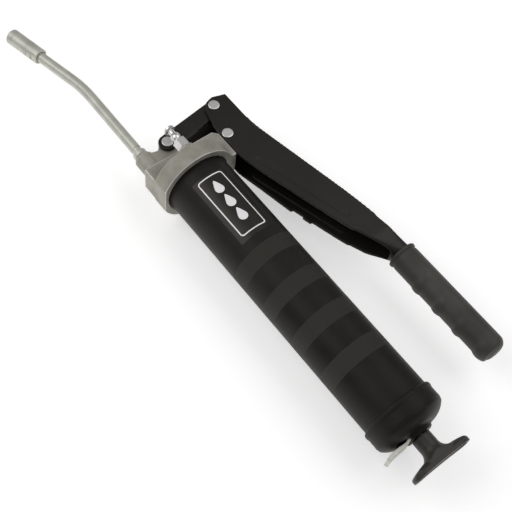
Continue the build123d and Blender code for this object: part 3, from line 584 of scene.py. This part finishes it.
def drop_loop(bm, centre, radius, length, steps=36):
    """A closed loop of edges round a droplet whose tip points to the head."""
    corners = []
    for step in range(steps):
        turn = tau * step / steps
        tip = max(0.0, -cos(turn)) ** 3
        x = radius * cos(turn) - tip * (length - radius)
        y = radius * sin(turn) * (1 - 0.35 * tip)
        corners.append(bm.verts.new((centre.x + x, centre.y + y, 0)))
    return [bm.edges.new(pair) for pair in zip(corners, corners[1:] + corners[:1])]


def wrap_on_barrel(bm, radius):
    """Rolls the flat layout onto the barrel: x stays, and y becomes the angle from +Y towards +Z."""
    for vertex in bm.verts:
        turn = vertex.co.y / BARREL_R
        vertex.co = (vertex.co.x, radius * cos(turn), radius * sin(turn))


class GREASEGUN_OT_label(bpy.types.Operator):
    """Printed border and three plain drops on the label"""

    bl_idname = "greasegun.label"
    bl_label = "Label print"

    def execute(self, context):
        sizes = context.scene.grease_gun_sizes
        first, last = LABEL_LOW.x + BORDER_INSET[0], LABEL_HIGH.x - BORDER_INSET[1]
        turn_low, turn_high = BORDER_TURN
        centre = Vector(((first + last) / 2, (turn_low + turn_high) / 2 * BARREL_R))
        half = Vector(((last - first) / 2, (turn_high - turn_low) / 2 * BARREL_R))
        line = Vector((sizes.border_line, sizes.border_line))
        bm = bmesh.new()
        outer = rounded_loop(bm, centre, half, sizes.border_radius)
        inner = rounded_loop(bm, centre, half - line, sizes.border_radius - sizes.border_line * 0.6)
        bmesh.ops.bridge_loops(bm, edges=outer + inner)
        for step in (-1, 0, 1):
            spot = centre + Vector((step * DROP_PITCH, 0))
            bmesh.ops.triangle_fill(bm, edges=drop_loop(bm, spot, DROP_R, DROP_LENGTH), use_beauty=True)
        long_edges = [edge for edge in bm.edges if edge.calc_length() > 2 * MM]
        bmesh.ops.subdivide_edges(bm, edges=long_edges, cuts=3, use_grid_fill=True)
        wrap_on_barrel(bm, LABEL_HIGH.z + PRINT_LIFT)
        bmesh.ops.recalc_face_normals(bm, faces=bm.faces)
        if sum(face.normal.dot(Vector((0, face.calc_center_median().y, face.calc_center_median().z)))
               for face in bm.faces) < 0:
            bmesh.ops.reverse_faces(bm, faces=bm.faces)
        bmesh.ops.solidify(bm, geom=bm.faces[:], thickness=PRINT_THICKNESS)
        place("label_print", bm, "barrel_label", "label_film", "white_print", smooth_angle=60.0)
        return {"FINISHED"}


class GREASEGUN_OT_cap(bpy.types.Operator):
    """Pressed end cap, its spring seat, and the release lever with its spring"""

    bl_idname = "greasegun.cap"
    bl_label = "End cap"

    def execute(self, context):
        softened("end_cap", *ROUNDING["end_cap"])
        softened("release_lever", *ROUNDING["release_lever"])
        finish_nodes("spring_seat")
        sprung("release_spring", (-1, 0, 0))
        return {"FINISHED"}


class GREASEGUN_OT_follower(bpy.types.Operator):
    """Follower rod, piston cup, washers, nut, spring and pull handle"""

    bl_idname = "greasegun.follower"
    bl_label = "Follower"

    def execute(self, context):
        softened("t_handle", *ROUNDING["t_handle"])
        finish_nodes("follower_rod", "handle_pin", "follower_cup", "follower_washers", "follower_nut")
        sprung("follower_spring", (1, 0, 0))
        return {"FINISHED"}


class GREASEGUN_OT_lever(bpy.types.Operator):
    """Pressed lever, rubber grip, pins and links"""

    bl_idname = "greasegun.lever"
    bl_label = "Lever and links"

    def execute(self, context):
        sizes = context.scene.grease_gun_sizes
        softened("lever_arm", sizes.lever_voxel, sizes.lever_passes, formed=NECK_BLEND)
        for node in ("lever_grip", "link_near", "link_far"):
            softened(node, *ROUNDING[node])
        for node in ("link_pin", "lever_pin", "plunger_pin"):
            softened(node, *PIN_ROUNDING, material="bare_steel")
        finish_nodes("link_spacer", "link_pin_clip", "lever_pin_clips")
        return {"FINISHED"}


class GREASEGUN_OT_pump(bpy.types.Operator):
    """Plunger, check valve, delivery pipe, coupler and filler nipple"""

    bl_idname = "greasegun.pump"
    bl_label = "Pump and pipe"

    def execute(self, context):
        finish_nodes("plunger", "plunger_seal", "outlet_ball", "delivery_tube", "tube_collar")
        finish_nodes("filler_nipple", material="bare_steel")
        finish_nodes("coupler_body", "coupler_sleeve", "coupler_jaws", "coupler_seal", "filler_ball")
        sprung("outlet_spring", (-1, 0, 0))
        sprung("filler_spring", (1, 0, 0))
        sprung("coupler_spring", (cos(BEND), sin(BEND), 0))
        return {"FINISHED"}


class GREASEGUN_OT_stage(bpy.types.Operator):
    """Plain pale floor, soft studio lights and the camera"""

    bl_idname = "greasegun.stage"
    bl_label = "Stage"

    def execute(self, context):
        scene = context.scene
        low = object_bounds()[0].z
        bm = bmesh.new()
        bmesh.ops.create_grid(bm, x_segments=1, y_segments=1, size=FLOOR_HALF)
        bmesh.ops.translate(bm, verts=bm.verts, vec=(0, 0, low - FLOOR_GAP))
        mesh = bpy.data.meshes.new("floor")
        bm.to_mesh(mesh)
        bm.free()
        floor = bpy.data.objects.new("floor", mesh)
        scene.collection.objects.link(floor)
        paper = Finish("floor_paper", roughness=0.9)
        mottle = paper.effect("grain", broad_scale=3.0)["Broad"]
        paper.drive("Base Color", paper.mix(mottle, grey(0.93), grey(0.90)))
        paper.shader.inputs["Emission Color"].default_value = grey(1.0)
        paper.shader.inputs["Emission Strength"].default_value = 0.5
        mesh.materials.append(paper.material)
        floor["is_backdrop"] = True

        scene.view_settings.view_transform = "Standard"
        world = bpy.data.worlds.new("studio")
        world.use_nodes = True
        sky = Graph(world.node_tree)
        around = sky.add("ShaderNodeTexCoord").outputs["Generated"]
        height = sky.add("ShaderNodeSeparateXYZ", {"Vector": around}).outputs["Z"]
        shade = sky.mix(sky.remap(height, 0.25, 0.75, 0.0, 1.0), grey(0.32), grey(0.95))
        background = world.node_tree.nodes["Background"]
        world.node_tree.links.new(shade, background.inputs["Color"])
        background.inputs["Strength"].default_value = 0.3
        scene.world = world
        for name, place_at, aim, size, power in (
            ("key", (-0.7, -0.9, 1.3), (0.05, 0, 0), (1.4, 1.2), 9.5),
            ("top", (0.35, 0.9, 1.5), (0.1, 0.02, 0), (1.6, 1.2), 8.0),
        ):
            light = bpy.data.lights.new(name, "AREA")
            light.shape = "RECTANGLE"
            light.size, light.size_y = size
            light.energy = power
            lamp = bpy.data.objects.new(name, light)
            lamp.location = place_at
            lamp.rotation_mode = "QUATERNION"
            lamp.rotation_quaternion = (Vector(aim) - Vector(place_at)).to_track_quat("-Z", "Y")
            scene.collection.objects.link(lamp)

        lens = bpy.data.cameras.new("camera")
        lens.lens = scene.grease_gun_look.lens
        lens.sensor_width = 36.0
        camera = bpy.data.objects.new("camera", lens)
        ahead = CAMERA_RIGHT.cross(CAMERA_DOWN).normalized()
        turn = Matrix((CAMERA_RIGHT.normalized(), -CAMERA_DOWN.normalized(), -ahead)).transposed()
        camera.matrix_world = Matrix.Translation(CAMERA_PLACE) @ turn.to_4x4()
        scene.collection.objects.link(camera)
        scene.camera = camera
        return {"FINISHED"}


class GREASEGUN_PT_build(bpy.types.Panel):
    """Lists the pieces to build and their settings"""

    bl_label = "Grease gun"
    bl_idname = "GREASEGUN_PT_build"
    bl_space_type = "VIEW_3D"
    bl_region_type = "UI"
    bl_category = "Grease gun"

    def draw(self, context):
        for group in (context.scene.grease_gun_sizes, context.scene.grease_gun_look):
            for name in group.__annotations__:
                self.layout.prop(group, name)
        for operator in PIECES:
            self.layout.operator(operator.bl_idname)


PIECES = (
    GREASEGUN_OT_stage,
    GREASEGUN_OT_head,
    GREASEGUN_OT_barrel,
    GREASEGUN_OT_label,
    GREASEGUN_OT_cap,
    GREASEGUN_OT_follower,
    GREASEGUN_OT_lever,
    GREASEGUN_OT_pump,
)
CLASSES = (GreaseGunSizes, GreaseGunLook, *PIECES, GREASEGUN_PT_build)


def register():
    for cls in CLASSES:
        bpy.utils.register_class(cls)
    bpy.types.Scene.grease_gun_sizes = PointerProperty(type=GreaseGunSizes)
    bpy.types.Scene.grease_gun_look = PointerProperty(type=GreaseGunLook)


def unregister():
    del bpy.types.Scene.grease_gun_look
    del bpy.types.Scene.grease_gun_sizes
    for cls in reversed(CLASSES):
        bpy.utils.unregister_class(cls)


def main():
    register()
    for operator in PIECES:
        getattr(bpy.ops.greasegun, operator.bl_idname.split(".")[1])()


if __name__ == "__main__":
    main()
